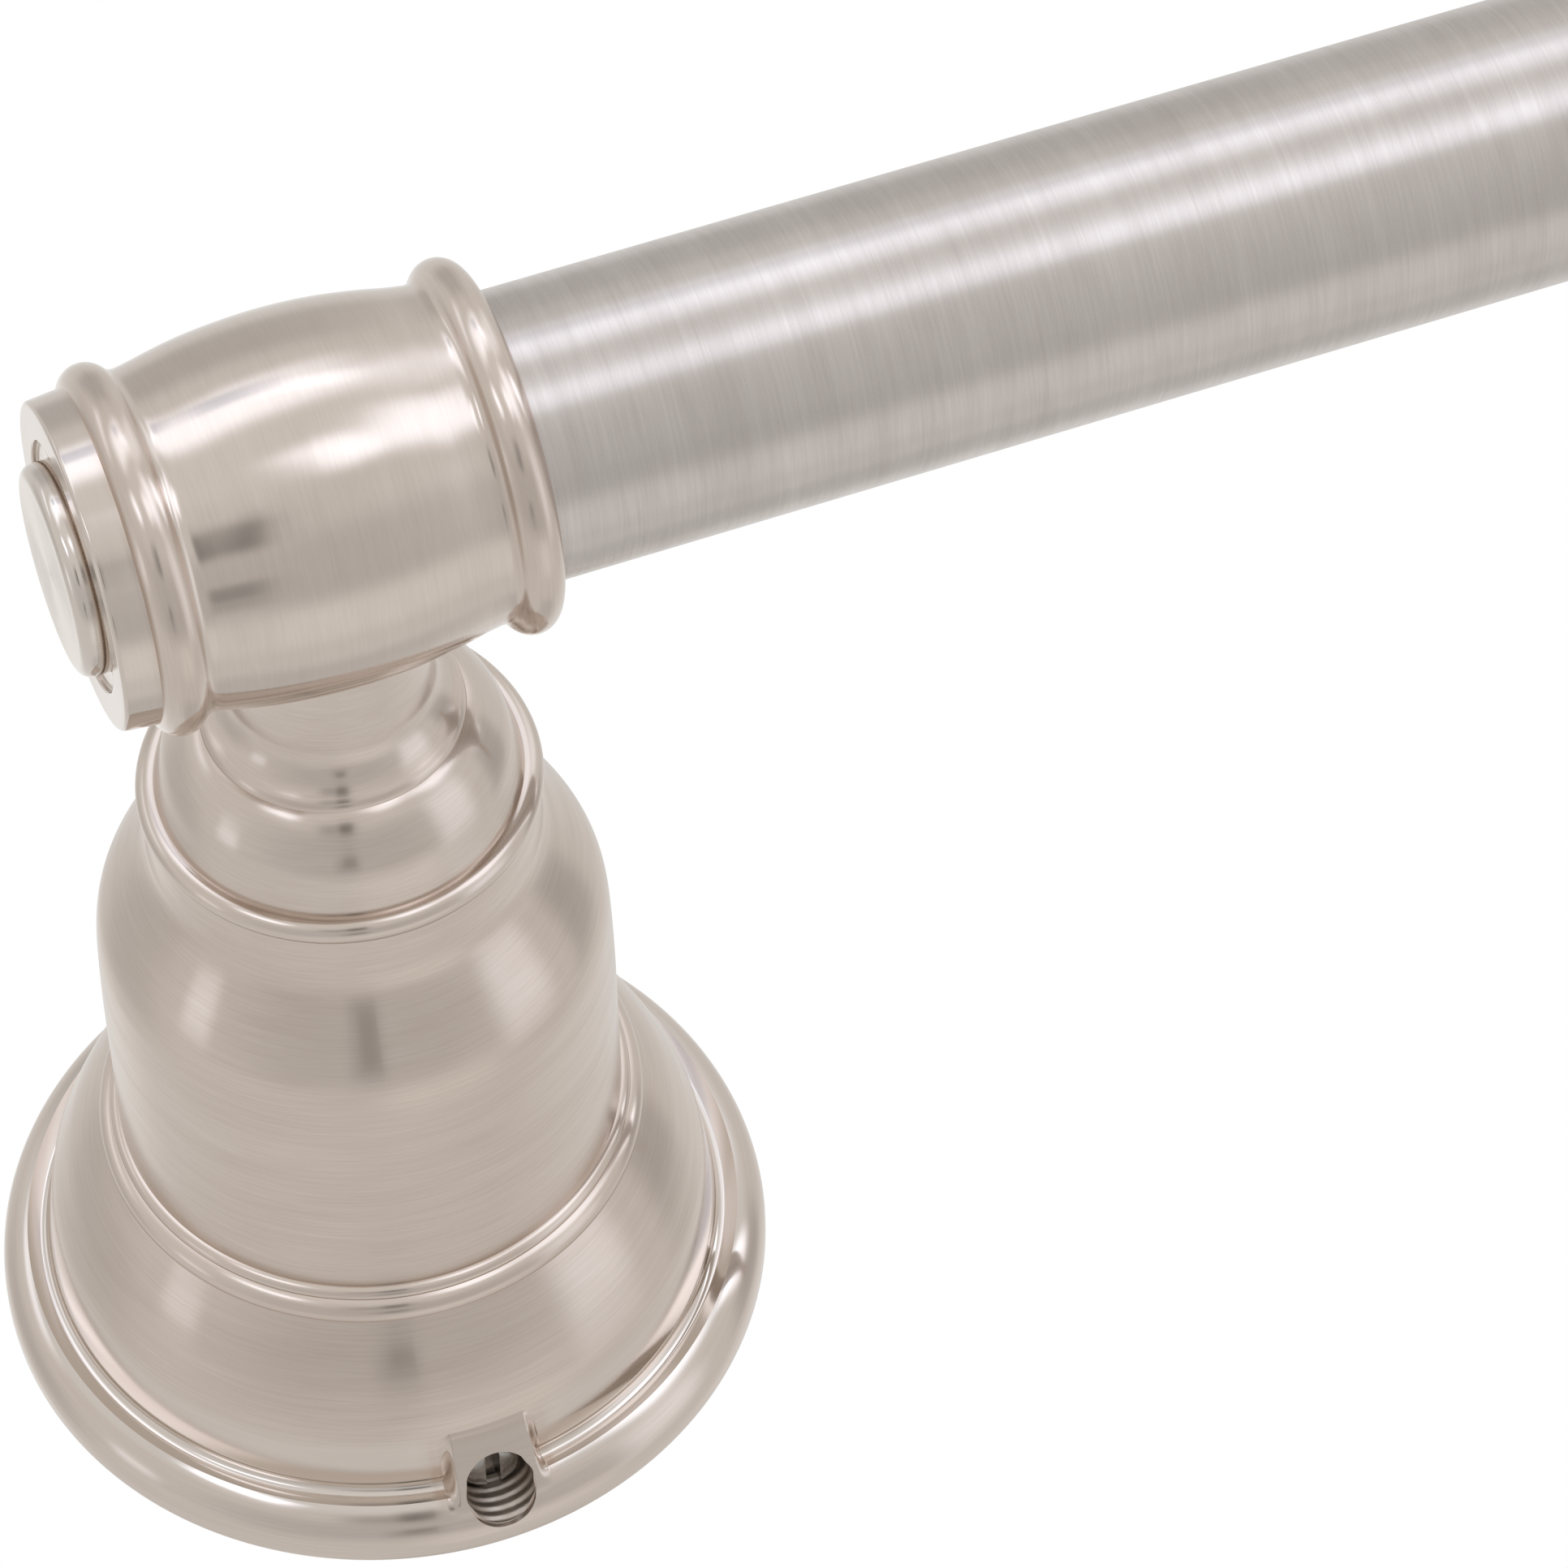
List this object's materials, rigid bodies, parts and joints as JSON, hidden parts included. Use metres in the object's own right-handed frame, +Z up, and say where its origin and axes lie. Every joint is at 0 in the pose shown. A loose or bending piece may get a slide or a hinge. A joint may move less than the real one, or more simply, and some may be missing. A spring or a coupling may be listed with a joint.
{
  "type": "wall-mounted bar with brackets",
  "caption": "Round metal bar carried off the wall by turned posts on bell-shaped flanges, with a button finial beyond each post and a slotted set screw under each flange.",
  "frame": {"origin": "on the wall plane, midway between the two posts and at the height of their axes", "axes": "+X along the bar, +Y into the wall, +Z up; the room and the bar are on the -Y side"},
  "size_m": [0.664, 0.124, 0.0544],
  "materials": {
    "satin_nickel_casting": "brushed",
    "satin_nickel_tube": "brushed",
    "zinc_plated_steel": "zinc plated",
    "white_nylon": "matte"
  },
  "bodies": {
    "brackets": {"left_wall_plate": "zinc_plated_steel", "left_wall_screws": "zinc_plated_steel", "left_bell": "satin_nickel_casting", "left_post_screw": "zinc_plated_steel", "left_lock_washer": "zinc_plated_steel", "left_flat_washer": "zinc_plated_steel", "left_barrel_head": "satin_nickel_casting", "left_finial_button": "satin_nickel_casting", "right_wall_plate": "zinc_plated_steel", "right_wall_screws": "zinc_plated_steel", "right_bell": "satin_nickel_casting", "right_post_screw": "zinc_plated_steel", "right_lock_washer": "zinc_plated_steel", "right_flat_washer": "zinc_plated_steel", "right_barrel_head": "satin_nickel_casting", "right_finial_button": "satin_nickel_casting"},
    "bar": {"bar_tube": "satin_nickel_tube", "left_bar_plug": "white_nylon", "right_bar_plug": "white_nylon"},
    "left_set_screw": {"left_set_screw": "zinc_plated_steel"},
    "right_set_screw": {"right_set_screw": "zinc_plated_steel"}
  },
  "joints": [
    {"name": "bar_turn", "type": "hinge", "parent": "brackets", "child": "bar", "pos_m": [0, -0.0823, 0], "axis": [1, 0, 0], "continuous": true},
    {"name": "left_set_screw_travel", "type": "slide", "parent": "brackets", "child": "left_set_screw", "axis": [0, 0, -1], "range_m": [0, 0.0024]},
    {"name": "right_set_screw_travel", "type": "slide", "parent": "brackets", "child": "right_set_screw", "axis": [0, 0, -1], "range_m": [0, 0.0024]}
  ]
}
